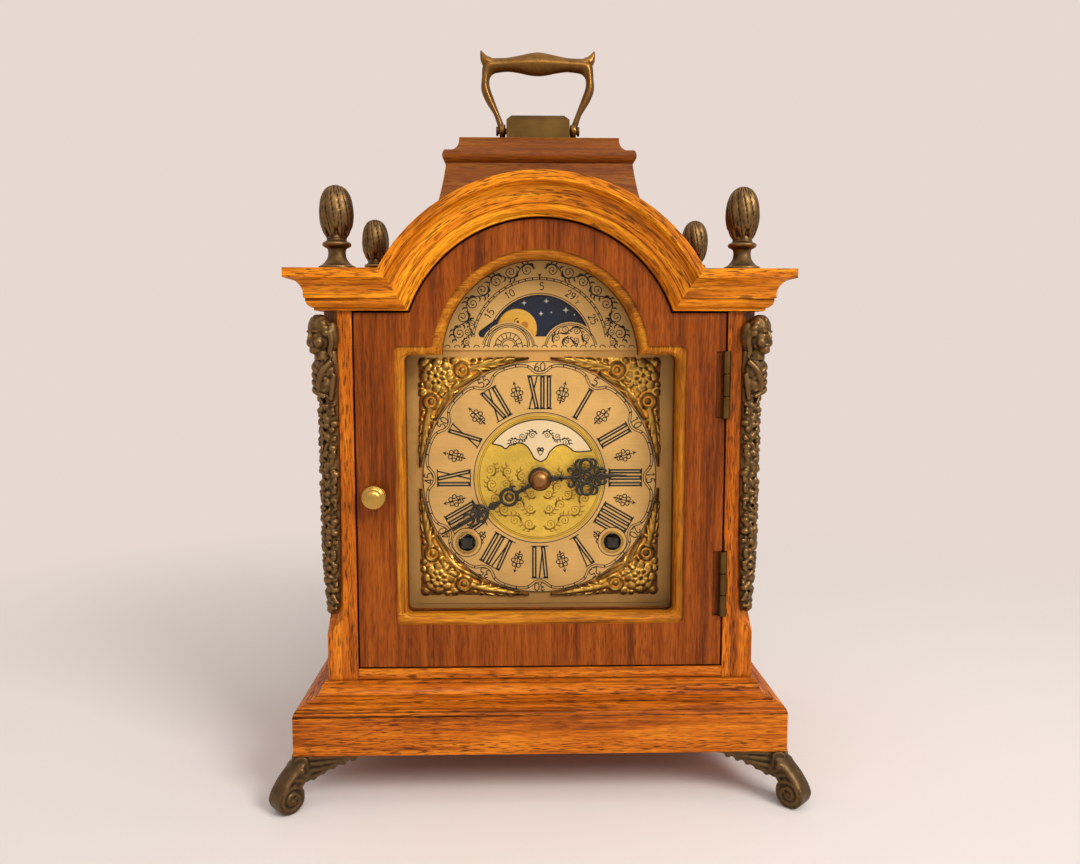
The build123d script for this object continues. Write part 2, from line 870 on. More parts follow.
# Caddy skirt: four mitred boards scribed to the vault
caddy_front = case_middle - caddy_half_depth
caddy_back = case_middle + caddy_half_depth
with BuildPart() as skirt_block:
    extrude(
        moulded_section(
            at_depth(case_back), -caddy_half_width, caddy_half_width, skirt_base,
            skirt_flare, skirt_height, skirt_profile_shares,
        ),
        amount=case_depth,
    )
    extrude(
        moulded_section(
            Plane.YZ, caddy_front, caddy_back, skirt_base,
            skirt_flare, skirt_height, skirt_profile_shares,
        ),
        amount=case_half,
        both=True,
        mode=Mode.INTERSECT,
    )
    with BuildSketch(Plane.XY.offset(skirt_base - overrun)):
        with Locations((0, case_middle)):
            Rectangle(2 * (caddy_half_width - skirt_wall), 2 * (caddy_half_depth - skirt_wall))
    extrude(amount=skirt_height + 2 * overrun, mode=Mode.SUBTRACT)
    with BuildSketch(at_depth(case_back)):
        with Locations((0, arch_z)):
            Circle(vault_radius)
    extrude(amount=case_depth, mode=Mode.SUBTRACT)
ridge_half = caddy_half_width - caddy_half_depth
skirt_reach = caddy_half_depth + skirt_flare
skirt_front_plan = [
    (-ridge_half, case_middle), (-ridge_half - skirt_reach, case_middle - skirt_reach),
    (ridge_half + skirt_reach, case_middle - skirt_reach), (ridge_half, case_middle),
]
skirt_left_plan = [
    (-ridge_half, case_middle), (-ridge_half - skirt_reach, case_middle + skirt_reach),
    (-ridge_half - skirt_reach, case_middle - skirt_reach),
]
skirt_back_plan = [(x, 2 * case_middle - y) for x, y in reversed(skirt_front_plan)]
skirt_right_plan = [(-x, y) for x, y in reversed(skirt_left_plan)]
skirt_plans = (skirt_front_plan, skirt_left_plan, skirt_back_plan, skirt_right_plan)
save_group(
    (cut_to_plan(skirt_block.part, plan, skirt_base, neck_z) for plan in skirt_plans), "caddy_skirt"
)

# Caddy cap
cap_half_width = caddy_half_width - cap_inset
cap_half_depth = caddy_half_depth - cap_inset
with BuildPart() as caddy_cap:
    extrude(
        moulded_section(
            at_depth(case_back), -cap_half_width, cap_half_width, neck_z,
            cap_projection, cap_height, cap_profile_shares,
        ),
        amount=case_depth,
    )
    extrude(
        moulded_section(
            Plane.YZ, case_middle - cap_half_depth, case_middle + cap_half_depth, neck_z,
            cap_projection, cap_height, cap_profile_shares,
        ),
        amount=case_half,
        both=True,
        mode=Mode.INTERSECT,
    )
save(caddy_cap.part, "caddy_cap")

# Handle block with the two pins that the handle turns on
eye_inner = block_half_width + handle_eye_gap
eye_outer = eye_inner + handle_eye_width
pin_end = eye_outer + handle_eye_gap
with BuildPart() as handle_block:
    with BuildSketch(at_depth(case_middle + block_half_depth)):
        with Locations((0, cap_top + block_height / 2)):
            Rectangle(2 * block_half_width, block_height)
    extrude(amount=2 * block_half_depth)
    chamfer(handle_block.faces().sort_by(Axis.Z)[-1].edges(), block_chamfer)
    with BuildSketch(Plane.YZ):
        with Locations((case_middle, pivot_z)):
            Circle(handle_pin_radius)
    extrude(amount=pin_end, both=True)
    for end_plane in (Plane.YZ.offset(pin_end), Plane.YZ.offset(-pin_end - handle_pin_head_length)):
        with BuildSketch(end_plane):
            with Locations((case_middle, pivot_z)):
                Circle(handle_pin_head_radius)
        extrude(amount=handle_pin_head_length)
save(handle_block.part, "handle_block")


def handle_points(shares, side):
    """Points of the handle's outline on one side."""
    return [(side * x * handle_half_width, pivot_z + z * handle_rise) for x, z in shares]


# Handle: a pierced bail with two pointed ears and an eye at each end
with BuildPart() as handle:
    with BuildSketch(at_depth(case_middle + handle_depth / 2)):
        with BuildLine():
            for side in (-1, 1):
                outer_points = handle_points(handle_outer_shares, side)
                inner_points = handle_points(handle_inner_shares, side)
                Spline(*outer_points)
                Line(outer_points[0], inner_points[-1])
            left_top = handle_points(handle_top_shares, -1)
            right_top = handle_points(handle_top_shares[:-1], 1)
            left_inner = handle_points(handle_inner_shares, -1)
            right_inner = handle_points(handle_inner_shares[1:], 1)
            Spline(*left_top, *reversed(right_top))
            Spline(*reversed(left_inner), *right_inner)
        make_face()
    extrude(amount=handle_depth)
    for eye_plane in (Plane.YZ.offset(eye_inner), Plane.YZ.offset(-eye_outer)):
        with BuildSketch(eye_plane):
            with Locations((case_middle, pivot_z)):
                Circle(handle_eye_radius)
        extrude(amount=handle_eye_width)
    with BuildSketch(Plane.YZ):
        with Locations((case_middle, pivot_z)):
            Circle(handle_pin_radius + pivot_clearance)
    extrude(amount=handle_half_width, both=True, mode=Mode.SUBTRACT)
save(handle.part, "handle")

# Finials on the flat shoulders of the roof
finial_x = case_half - finial_side_inset
finial_places = [
    (side * finial_x, y)
    for side in (-1, 1)
    for y in (case_front + finial_front_setback, case_back - finial_back_setback)
]
finials = []
for finial_side, finial_y in finial_places:
    finial_plane = Plane(origin=(finial_side, finial_y, cornice_top), x_dir=(1, 0, 0), z_dir=(0, -1, 0))
    with BuildPart() as finial:
        with BuildSketch(finial_plane):
            with BuildLine():
                foot_point, tip_point = draw_profile(
                    finial_profile_shares, lambda share: (share[0] * finial_radius, share[1] * finial_height)
                )
                Polyline(tip_point, (0, 0), foot_point)
            make_face()
        revolve(axis=Axis((finial_side, finial_y, cornice_top), (0, 0, 1)))
    finials.append(finial.part)
save_group(finials, "finials")

# Foot: a scroll on the corner's diagonal with a wing along each side of the plinth
diagonal = math.sqrt(0.5)
foot_plane = Plane(
    origin=(-plinth_half, plinth_front, 0), x_dir=(-diagonal, -diagonal, 0), z_dir=(-diagonal, diagonal, 0)
)
scroll_z = scroll_radius - scroll_sink
leg_rise = foot_height - scroll_z
scroll_outer = scroll_reach + scroll_radius
scroll_inner = scroll_reach - scroll_radius
spine_middle = (
    foot_shoulder + foot_spine_shares[0] * (scroll_outer - foot_shoulder),
    foot_height - foot_spine_shares[1] * leg_rise,
)
heel_middle = (
    -foot_heel + foot_heel_shares[1] * (scroll_inner + foot_heel),
    foot_height - foot_heel_shares[0] * leg_rise,
)
wing_foot_z = foot_height - foot_wing_drop


def wing_sketch(plane, corner):
    """Bracket along one side of the plinth, from its corner inwards."""
    tip = corner + foot_wing_length
    middle = (
        corner + foot_wing_shares[0] * foot_wing_length,
        foot_height - foot_wing_shares[1] * foot_wing_drop,
    )
    with BuildSketch(plane) as wing:
        with BuildLine():
            Polyline((tip, foot_height), (corner, foot_height), (corner, wing_foot_z))
            ThreePointArc((corner, wing_foot_z), middle, (tip, foot_height))
        make_face()
    return wing.sketch


with BuildPart() as foot:
    with BuildSketch(foot_plane):
        with BuildLine():
            ThreePointArc((scroll_outer, scroll_z), spine_middle, (foot_shoulder, foot_height))
            Line((foot_shoulder, foot_height), (-foot_heel, foot_height))
            ThreePointArc((-foot_heel, foot_height), heel_middle, (scroll_inner, scroll_z))
            Line((scroll_inner, scroll_z), (scroll_outer, scroll_z))
        make_face()
        with Locations((scroll_reach, scroll_z)):
            Circle(scroll_radius)
    extrude(amount=foot_thickness / 2, both=True)
    wing_depth = foot_wing_inset + foot_wing_thickness
    extrude(
        wing_sketch(at_depth(plinth_front + wing_depth), -plinth_half + foot_wing_inset),
        amount=foot_wing_thickness,
    )
    extrude(
        wing_sketch(Plane.YZ.offset(-plinth_half + foot_wing_inset), plinth_front + foot_wing_inset),
        amount=foot_wing_thickness,
    )
    split(bisect_by=Plane.XY, keep=Keep.TOP)
foot_back = mirror(foot.part, about=Plane.XZ)
save(foot.part, "foot_front_left")
save(mirror(foot.part, about=Plane.YZ), "foot_front_right")
save(foot_back, "foot_back_left")
save(mirror(foot_back, about=Plane.YZ), "foot_back_right")

# Corner mounts on the chamfers: a bust over a garland
mount_foot = cornice_bottom - mount_top_margin - mount_height
mount_plane = Plane(
    origin=(-case_half + corner_chamfer / 2, case_front + corner_chamfer / 2, mount_foot),
    x_dir=(diagonal, -diagonal, 0),
    z_dir=(-diagonal, -diagonal, 0),
)
mount_side = [(x * mount_half_width, z * mount_height) for x, z in mount_outline_shares]
with BuildPart() as corner_mount:
    with BuildSketch(mount_plane):
        with BuildLine():
            Spline(*mount_side)
            Line(mount_side[-1], (-mount_side[-1][0], mount_side[-1][1]))
            Spline(*[(-x, z) for x, z in reversed(mount_side)])
            Line((-mount_side[0][0], mount_side[0][1]), mount_side[0])
        make_face()
    extrude(amount=mount_relief)
    with BuildSketch(mount_plane):
        with Locations((0, mount_head_share * mount_height)):
            Ellipse(mount_head_radius, (1 - mount_head_share) * mount_height)
    extrude(amount=mount_head_relief)
save(corner_mount.part, "corner_mount_left")
save(mirror(corner_mount.part, about=Plane.YZ), "corner_mount_right")


def window_sketch(plane, grow):
    """Outline of the arched window, grown by a margin."""
    foot = dial_z - window_below_dial - grow
    top = arch_z + window_shoulder_rise + grow
    with BuildSketch(plane) as window:
        with Locations((0, (foot + top) / 2)):
            RectangleRounded(2 * (window_half_width + grow), top - foot, window_corner_radius)
        with Locations((0, arch_z)):
            Circle(window_arch_radius + grow)
    return window.sketch


# Front door frame
with BuildPart() as door_frame:
    with BuildSketch(at_depth(door_back)):
        with Locations((0, (door_bottom + door_shoulder) / 2)):
            Rectangle(2 * door_half, door_shoulder - door_bottom)
        with Locations((0, arch_z)):
            Circle(arch_radius - door_gap)
    extrude(amount=door_thickness)
    chamfer(door_frame.faces().sort_by(Axis.Y)[-1].edges(), door_edge_chamfer)
    extrude(
        window_sketch(at_depth(door_back + overrun), 0),
        amount=door_thickness + 2 * overrun,
        mode=Mode.SUBTRACT,
    )
    window_step = case_front + window_step_depth
    extrude(
        window_sketch(at_depth(window_step), window_step_width),
        amount=window_step_depth + overrun,
        mode=Mode.SUBTRACT,
    )
    step_face = door_frame.faces().filter_by(Axis.Y).filter_by_position(
        Axis.Y, window_step - pick_tolerance, window_step + pick_tolerance
    )[0]
    fillet(step_face.inner_wires()[0].edges(), window_round)
    extrude(
        window_sketch(at_depth(door_back + overrun), glass_rebate),
        amount=door_back - glass_front + overrun,
        mode=Mode.SUBTRACT,
    )
    for z in front_hinge_heights:
        add(hinge_cuts(door_half, -1, front_hinge_y, 1, z), mode=Mode.SUBTRACT)
        with BuildSketch(at_depth(case_front + hinge_recess_depth)):
            with Locations((door_half - hinge_recess_width / 2, z)):
                Rectangle(hinge_recess_width, hinge_length)
        extrude(amount=hinge_recess_depth + overrun, mode=Mode.SUBTRACT)
    knob_place = (-door_half + knob_inset, dial_z - knob_drop)
    extrude(
        rod_sketch(knob_place, case_front + knob_shank_length, knob_shank_radius + knob_shank_clearance),
        amount=knob_shank_length + overrun,
        mode=Mode.SUBTRACT,
    )
save(door_frame.part, "door_frame")

# Window glass and the bead that holds it
with BuildPart() as door_glass:
    extrude(window_sketch(at_depth(glass_back), glass_rebate - glass_clearance), amount=glass_thickness)
save(door_glass.part, "door_glass")
with BuildPart() as door_bead:
    extrude(window_sketch(at_depth(glass_back + bead_thickness), glass_rebate), amount=bead_thickness)
    extrude(
        window_sketch(at_depth(glass_back + bead_thickness + overrun), 0),
        amount=bead_thickness + 2 * overrun,
        mode=Mode.SUBTRACT,
    )
save(door_bead.part, "door_bead")


def turned_knob(place, face, outward, shank_length):
    """Knob on a door face, with its shank in the door."""
    with BuildPart() as knob:
        with BuildSketch(lying(*place)):
            with BuildLine():
                rim, tip = draw_profile(
                    knob_profile_shares,
                    lambda share: (share[0] * knob_radius, face + outward * share[1] * knob_length),
                )
                shank_end = face - outward * shank_length
                Polyline(tip, (0, shank_end), (knob_shank_radius, shank_end), (knob_shank_radius, face), rim)
            make_face()
        revolve(axis=Axis((place[0], 0, place[1]), (0, 1, 0)))
    return knob.part


save(turned_knob(knob_place, case_front, -1, knob_shank_length), "door_knob")

# Rear door: a panel with a sunk field and rows of sound holes
rear_door_z = (door_bottom + rear_door_top) / 2
rear_knob_place = (-door_half + knob_inset, rear_door_z)
with BuildPart() as rear_door:
    with BuildSketch(at_depth(case_back)):
        with Locations((0, rear_door_z)):
            Rectangle(2 * door_half, rear_door_top - door_bottom)
    extrude(amount=back_thickness)
    with BuildSketch(at_depth(case_back + overrun)):
        with Locations((0, rear_door_z)):
            Rectangle(
                2 * (door_half - rear_field_margin), rear_door_top - door_bottom - 2 * rear_field_margin
            )
    extrude(amount=rear_field_depth + overrun, mode=Mode.SUBTRACT)
    with BuildSketch(at_depth(case_back)):
        with Locations((0, rear_door_z)):
            with GridLocations(sound_hole_pitch, sound_hole_pitch, sound_hole_columns, sound_hole_rows):
                Circle(sound_hole_radius)
    extrude(amount=back_thickness + overrun, mode=Mode.SUBTRACT)
    for z in rear_hinge_heights:
        add(hinge_cuts(door_half, -1, rear_hinge_y, -1, z), mode=Mode.SUBTRACT)
    extrude(
        rod_sketch(rear_knob_place, case_back + overrun, knob_shank_radius + knob_shank_clearance),
        amount=back_thickness + 2 * overrun,
        mode=Mode.SUBTRACT,
    )
save(rear_door.part, "rear_door")
save(turned_knob(rear_knob_place, case_back, 1, back_thickness), "rear_door_knob")


def moon_opening_sketch(plane, grow):
    """The moon's opening over its sill, with a tail down to the left, grown by a margin."""
    sill = moon_z + moon_sill_rise - grow
    with BuildSketch(plane) as opening:
        with Locations((0, moon_z)):
            Circle(moon_opening_radius + grow)
        with Locations((0, sill - moon_disc_radius)):
            Rectangle(2 * moon_disc_radius, 2 * moon_disc_radius, mode=Mode.SUBTRACT)
        with Locations((-moon_tail_offset, moon_z + moon_tail_rise)):
            SlotCenterToCenter(moon_tail_length, moon_tail_width + 2 * grow, moon_tail_angle)
    return opening.sketch


# Dial plate on two battens, with the moon opening and the stud that the moon disc turns on
dial_foot_z = dial_z - dial_plate_below
dial_shoulder_z = arch_z + dial_plate_shoulder
winding_places = [(-winding_hole_offset, winding_z), (winding_hole_offset, winding_z)]
with BuildPart() as dial_plate:
    with BuildSketch(at_depth(dial_back)):
        with Locations((0, (dial_foot_z + dial_shoulder_z) / 2)):
            Rectangle(2 * dial_plate_half_width, dial_shoulder_z - dial_foot_z)
        with Locations((0, arch_z)):
            Circle(dial_plate_arch_radius)
        with Locations((0, dial_z)):
            Circle(pipe_hole_radius, mode=Mode.SUBTRACT)
        with Locations(*winding_places):
            Circle(bush_radius + bush_clearance, mode=Mode.SUBTRACT)
    extrude(amount=dial_plate_thickness)
    extrude(
        moon_opening_sketch(at_depth(dial_back + overrun), moon_window_margin),
        amount=dial_plate_thickness + 2 * overrun,
        mode=Mode.SUBTRACT,
    )
    moon_front = dial_back + moon_disc_gap
    moon_back = moon_front + moon_disc_thickness
    stud_head_front = moon_back + moon_stud_head_gap
    stud_end = stud_head_front + moon_stud_head_thickness
    extrude(rod_sketch((0, moon_z), stud_end, moon_stud_radius), amount=stud_end - dial_back)
    extrude(rod_sketch((0, moon_z), stud_end, moon_stud_head_radius), amount=moon_stud_head_thickness)
save(dial_plate.part, "dial_plate")

batten_inner = dial_plate_half_width - batten_overlap
with BuildPart() as dial_batten:
    with BuildSketch(at_depth(dial_y)):
        with Locations((-(batten_inner + inner_half) / 2, (dial_foot_z + arch_z + batten_top_rise) / 2)):
            Rectangle(inner_half - batten_inner, arch_z + batten_top_rise - dial_foot_z)
    extrude(amount=dial_y - stile_back)
save_group([dial_batten.part, mirror(dial_batten.part, about=Plane.YZ)], "dial_battens")

# Moon disc
with BuildPart() as moon_disc:
    extrude(rod_sketch((0, moon_z), moon_back, moon_disc_radius), amount=moon_disc_thickness)
    extrude(
        rod_sketch((0, moon_z), moon_back + overrun, moon_stud_radius + moon_stud_clearance),
        amount=moon_disc_thickness + 2 * overrun,
        mode=Mode.SUBTRACT,
    )
save(moon_disc.part, "moon_disc")

# Arch plate with its two humps, in front of the moon opening
with BuildPart() as arch_plate:
    with BuildSketch(at_depth(dial_y)):
        with Locations((0, arch_z)):
            Circle(arch_plate_radius)
        with Locations((0, arch_z + arch_plate_rise - arch_plate_radius)):
            Rectangle(2 * arch_plate_radius, 2 * arch_plate_radius, mode=Mode.SUBTRACT)
    extrude(amount=ring_thickness)
    extrude(
        moon_opening_sketch(at_depth(dial_y + overrun), 0),
        amount=ring_thickness + 2 * overrun,
        mode=Mode.SUBTRACT,
    )
    with BuildSketch(at_depth(dial_y)):
        for side in (-1, 1):
            with Locations((side * moon_hump_offset, moon_z - moon_hump_drop)):
                Circle(moon_hump_radius)
        with Locations((0, moon_z + moon_sill_rise - moon_disc_radius)):
            Rectangle(2 * arch_plate_radius, 2 * moon_disc_radius, mode=Mode.SUBTRACT)
    extrude(amount=ring_thickness)
save(arch_plate.part, "arch_plate")

# Chapter ring, centre disc and winding-hole bushes
with BuildPart() as chapter_ring:
    with BuildSketch(at_depth(dial_y)):
        with Locations((0, dial_z)):
            Circle(ring_radius)
            Circle(ring_inner_radius, mode=Mode.SUBTRACT)
        with Locations(*winding_places):
            Circle(bush_radius + bush_clearance, mode=Mode.SUBTRACT)
    extrude(amount=ring_thickness)
save(chapter_ring.part, "chapter_ring")

with BuildPart() as centre_disc:
    with BuildSketch(at_depth(dial_y)):
        with Locations((0, dial_z)):
            Circle(ring_inner_radius - centre_disc_clearance)
            Circle(pipe_hole_radius, mode=Mode.SUBTRACT)
    extrude(amount=centre_disc_thickness)
save(centre_disc.part, "centre_disc")

ring_front = dial_y - ring_thickness
bushes = []
for place in winding_places:
    with BuildPart() as bush:
        extrude(rod_sketch(place, dial_back, bush_radius), amount=dial_back - ring_front)
        extrude(rod_sketch(place, ring_front, bush_flange_radius), amount=bush_flange_thickness)
        extrude(
            rod_sketch(place, dial_back + overrun, bush_bore_radius),
            amount=dial_back - ring_front + bush_flange_thickness + 2 * overrun,
            mode=Mode.SUBTRACT,
        )
    bushes.append(bush.part)
save_group(bushes, "winding_bushes")

# Spandrels: corner castings that follow the ring and stay clear of the winding holes
spandrel_arm = spandrel_half - spandrel_arm_start
with BuildPart() as spandrel:
    with BuildSketch(at_depth(dial_y)):
        with Locations((-spandrel_half + spandrel_arm / 2, dial_z + spandrel_half - spandrel_arm / 2)):
            Rectangle(spandrel_arm, spandrel_arm)
        with Locations((0, dial_z)):
            Circle(ring_radius + spandrel_ring_gap, mode=Mode.SUBTRACT)
        with Locations((-winding_hole_offset, dial_z + winding_hole_drop)):
            Circle(bush_flange_radius + spandrel_ring_gap, mode=Mode.SUBTRACT)
    extrude(amount=spandrel_thickness)
dial_level = Plane.XY.offset(dial_z)
upper_spandrels = [spandrel.part, mirror(spandrel.part, about=Plane.YZ)]
save_group(upper_spandrels + [mirror(piece, about=dial_level) for piece in upper_spandrels], "spandrels")


def hand_plane(y, clock_angle):
    """Plane at a hand's back: its x runs along the hand."""
    angle = math.radians(90 - clock_angle)
    return Plane(origin=(0, y, dial_z), x_dir=(math.cos(angle), 0, math.sin(angle)), z_dir=(0, -1, 0))


def hand_sketch(plane, length, blade_shares, loop_shares, hub_radius, hole_radius):
    """A pierced hand: a blade of changing width, loops each side of it and a hub."""
    upper = [(along * length, half * length) for along, half in blade_shares]
    lower = [(x, -y) for x, y in reversed(upper)]
    with BuildSketch(plane) as hand:
        with BuildLine():
            Polyline(*upper, *lower, close=True)
        make_face()
        for along, aside, outer, hole in loop_shares:
            for side in (-1, 1):
                with Locations((along * length, side * aside * length)):
                    Circle(outer * length)
        for along, aside, outer, hole in loop_shares:
            for side in (-1, 1):
                with Locations((along * length, side * aside * length)):
                    Circle(hole * length, mode=Mode.SUBTRACT)
        Circle(hub_radius)
        Circle(hole_radius, mode=Mode.SUBTRACT)
    return hand.sketch


hour_hand_back = dial_y - hour_hand_height
minute_hand_back = dial_y - minute_hand_height
minute_hand_front = minute_hand_back - hand_thickness
hour_plane = hand_plane(hour_hand_back, hour_hand_angle)
with BuildPart() as hour_hand:
    extrude(
        hand_sketch(
            hour_plane, hour_hand_length, hour_blade_shares, hour_loop_shares, hour_hub_radius, pipe_radius
        ),
        amount=hand_thickness,
    )
    with BuildSketch(hour_plane.offset(-overrun)):
        with Locations((hour_hole_shares[0] * hour_hand_length, 0)):
            Circle(hour_hole_shares[1] * hour_hand_length)
    extrude(amount=hand_thickness + 2 * overrun, mode=Mode.SUBTRACT)
save(hour_hand.part, "hour_hand")

with BuildPart() as minute_hand:
    extrude(
        hand_sketch(
            hand_plane(minute_hand_back, minute_hand_angle), minute_hand_length, minute_blade_shares,
            minute_loop_shares, minute_hub_radius, centre_arbor_radius,
        ),
        amount=hand_thickness,
    )
save(minute_hand.part, "minute_hand")

with BuildPart() as hand_nut:
    with BuildSketch(lying(0, dial_z)):
        with BuildLine():
            nut_rim, nut_tip = draw_profile(
                nut_profile_shares,
                lambda share: (share[0] * nut_radius, minute_hand_front - share[1] * nut_height),
            )
            nut_floor = minute_hand_front - nut_bore_depth
            Polyline(
                nut_tip,
                (0, nut_floor),
                (centre_arbor_radius, nut_floor),
                (centre_arbor_radius, minute_hand_front),
                nut_rim,
            )
        make_face()
    revolve(axis=Axis((0, 0, dial_z), (0, 1, 0)))
save(hand_nut.part, "hand_nut")

# Places of the movement's arbors
centre_place = (0, dial_z)
barrel_place = winding_places[0]
barrel_span = math.dist(barrel_place, centre_place)
great_reach = barrel_reach_share * barrel_span
centre_reach = centre_reach_share * barrel_span
great_wheel_module = mesh_module(great_reach, great_wheel_teeth, intermediate_pinion_teeth)
intermediate_module = mesh_module(centre_reach, intermediate_wheel_teeth, centre_pinion_teeth)
intermediate_place = meeting_point(barrel_place, great_reach, centre_place, centre_reach, 1)
third_reach = mesh_reach(centre_module, centre_wheel_teeth, third_pinion_teeth)
third_place = (
    third_reach * math.cos(math.radians(third_angle)),
    dial_z + third_reach * math.sin(math.radians(third_angle)),
)
motion_reach = mesh_reach(motion_module, cannon_teeth, minute_wheel_teeth)
hour_module = mesh_module(motion_reach, minute_pinion_teeth, hour_wheel_teeth)
minute_stud_place = (
    motion_reach * math.cos(math.radians(minute_stud_angle)),
    dial_z + motion_reach * math.sin(math.radians(minute_stud_angle)),
)
hammer_place = (hammer_offset, dial_z + hammer_rise)
escapement_place = (escapement_offset, dial_z + escapement_rise)
plate_z = dial_z + (plate_above - plate_below) / 2
pillar_x = plate_half_width - pillar_inset
pillar_places = [
    (side * pillar_x, z)
    for side in (-1, 1)
    for z in (dial_z - plate_below + pillar_inset, dial_z + plate_above - pillar_inset)
]
dial_foot_places = [
    (side * dial_foot_offset, z)
    for side in (-1, 1)
    for z in (dial_z - dial_foot_rise, dial_z + dial_foot_rise)
]

# Levels of the wheels, front to back
pinion_thickness = wheel_thickness + 2 * pinion_margin
minute_wheel_back = plate_front - motion_wheel_setback
minute_wheel_front = minute_wheel_back - wheel_thickness
hour_wheel_back = plate_front - hour_wheel_setback
barrel_front = plate_inner + barrel_setback
great_wheel_front = barrel_front + barrel_length
great_wheel_back = great_wheel_front + wheel_thickness
intermediate_wheel_back = back_plate_front - 2 * wheel_thickness
centre_wheel_back = barrel_front + barrel_length / 2
third_wheel_back = great_wheel_front

# Movement plates with their pivot holes
plate_holes = [
    (intermediate_place, pivot_radius),
    (third_place, pivot_radius),
    (centre_place, centre_arbor_radius),
    (hammer_place, hammer_arbor_radius),
]


def movement_plate(back, winding_radius):
    """One plate of the movement."""
    with BuildPart() as plate:
        with BuildSketch(at_depth(back)):
            with Locations((0, plate_z)):
                Rectangle(2 * plate_half_width, plate_above + plate_below)
            for place, radius in plate_holes + [(place, winding_radius) for place in winding_places]:
                with Locations(place):
                    Circle(radius + pivot_clearance, mode=Mode.SUBTRACT)
        extrude(amount=plate_thickness)
    return plate.part


with BuildPart() as front_plate:
    add(movement_plate(plate_inner, winding_arbor_radius))
    stud_length = plate_front - hour_wheel_back + wheel_thickness + pinion_margin
    extrude(rod_sketch(minute_stud_place, plate_front, minute_stud_radius), amount=stud_length)
save(front_plate.part, "front_plate")
save(movement_plate(back_plate_back, winding_pivot_radius), "back_plate")

# Pillars between the plates, and the dial's feet on the front plate
pillar_rods = [(place, back_plate_front, pillar_radius, plate_spacing) for place in pillar_places]
pillar_rods += [(place, plate_front, dial_foot_radius, movement_gap) for place in dial_foot_places]
pillars = []
for place, rod_back, rod_radius, rod_length in pillar_rods:
    with BuildPart() as pillar:
        extrude(rod_sketch(place, rod_back, rod_radius), amount=rod_length)
    pillars.append(pillar.part)
save_group(pillars, "movement_pillars")

# Centre arbor: cannon pinion in front, centre wheel and centre pinion between the plates
with BuildPart() as centre_arbor:
    arbor_front = minute_hand_front - nut_bore_depth
    extrude(
        rod_sketch(centre_place, back_plate_back, centre_arbor_radius), amount=back_plate_back - arbor_front
    )
    extrude(
        gear_sketch(
            centre_place, minute_wheel_back + pinion_margin, cannon_teeth, motion_module, pinion_tip_share,
            facing_gap(bearing(centre_place, minute_stud_place), cannon_teeth),
        ),
        amount=pinion_thickness,
    )
    extrude(
        gear_sketch(
            centre_place, centre_wheel_back, centre_wheel_teeth, centre_module, wheel_tip_share,
            bearing(centre_place, third_place), True,
        ),
        amount=wheel_thickness,
    )
    extrude(
        gear_sketch(
            centre_place, intermediate_wheel_back + pinion_margin, centre_pinion_teeth, intermediate_module,
            pinion_tip_share, facing_gap(bearing(centre_place, intermediate_place), centre_pinion_teeth),
        ),
        amount=pinion_thickness,
    )
save(centre_arbor.part, "centre_arbor")

# Minute wheel and its pinion, on the stud
with BuildPart() as minute_wheel:
    to_centre = bearing(minute_stud_place, centre_place)
    extrude(
        gear_sketch(
            minute_stud_place, minute_wheel_back, minute_wheel_teeth, motion_module, wheel_tip_share,
            to_centre, True,
        ),
        amount=wheel_thickness,
    )
    pinion_front = hour_wheel_back - wheel_thickness - pinion_margin
    extrude(
        gear_sketch(
            minute_stud_place, minute_wheel_front, minute_pinion_teeth, hour_module, pinion_tip_share,
            facing_gap(to_centre, minute_pinion_teeth),
        ),
        amount=minute_wheel_front - pinion_front,
    )
    extrude(
        rod_sketch(minute_stud_place, minute_wheel_back + overrun, minute_stud_radius + pivot_clearance),
        amount=minute_wheel_back - pinion_front + 2 * overrun,
        mode=Mode.SUBTRACT,
    )
save(minute_wheel.part, "minute_wheel")

# Hour wheel and the pipe that carries the hour hand
with BuildPart() as hour_wheel:
    extrude(
        gear_sketch(
            centre_place, hour_wheel_back, hour_wheel_teeth, hour_module, wheel_tip_share,
            bearing(centre_place, minute_stud_place), True,
        ),
        amount=wheel_thickness,
    )
    pipe_front = hour_hand_back - hand_thickness - pinion_margin
    extrude(rod_sketch(centre_place, hour_wheel_back, pipe_radius), amount=hour_wheel_back - pipe_front)
    extrude(
        rod_sketch(centre_place, hour_wheel_back + overrun, centre_arbor_radius + pipe_clearance),
        amount=hour_wheel_back - pipe_front + 2 * overrun,
        mode=Mode.SUBTRACT,
    )
save(hour_wheel.part, "hour_wheel")


def train_arbor(place, gears):
    """An arbor between the plates with its gears, each a back, a thickness and a gear's own values."""
    with BuildPart() as train:
        body_back = back_plate_front - arbor_end_gap
        extrude(rod_sketch(place, body_back, arbor_radius), amount=plate_spacing - 2 * arbor_end_gap)
        extrude(rod_sketch(place, back_plate_back, pivot_radius), amount=back_plate_back - plate_front)
        for back, thickness, teeth, module, tip_share, turn, crossed in gears:
            extrude(gear_sketch(place, back, teeth, module, tip_share, turn, crossed), amount=thickness)
    return train.part


to_barrel = bearing(intermediate_place, barrel_place)
intermediate_gears = [
    (great_wheel_back + pinion_margin, pinion_thickness, intermediate_pinion_teeth, great_wheel_module,
     pinion_tip_share, facing_gap(to_barrel, intermediate_pinion_teeth), False),
    (intermediate_wheel_back, wheel_thickness, intermediate_wheel_teeth, intermediate_module,
     wheel_tip_share, bearing(intermediate_place, centre_place), True),
]
save(train_arbor(intermediate_place, intermediate_gears), "intermediate_wheel")
third_gears = [
    (centre_wheel_back + pinion_margin, pinion_thickness, third_pinion_teeth, centre_module,
     pinion_tip_share, facing_gap(bearing(third_place, centre_place), third_pinion_teeth), False),
    (third_wheel_back, wheel_thickness, third_wheel_teeth, centre_module, wheel_tip_share, 0, True),
]
save(train_arbor(third_place, third_gears), "third_wheel")

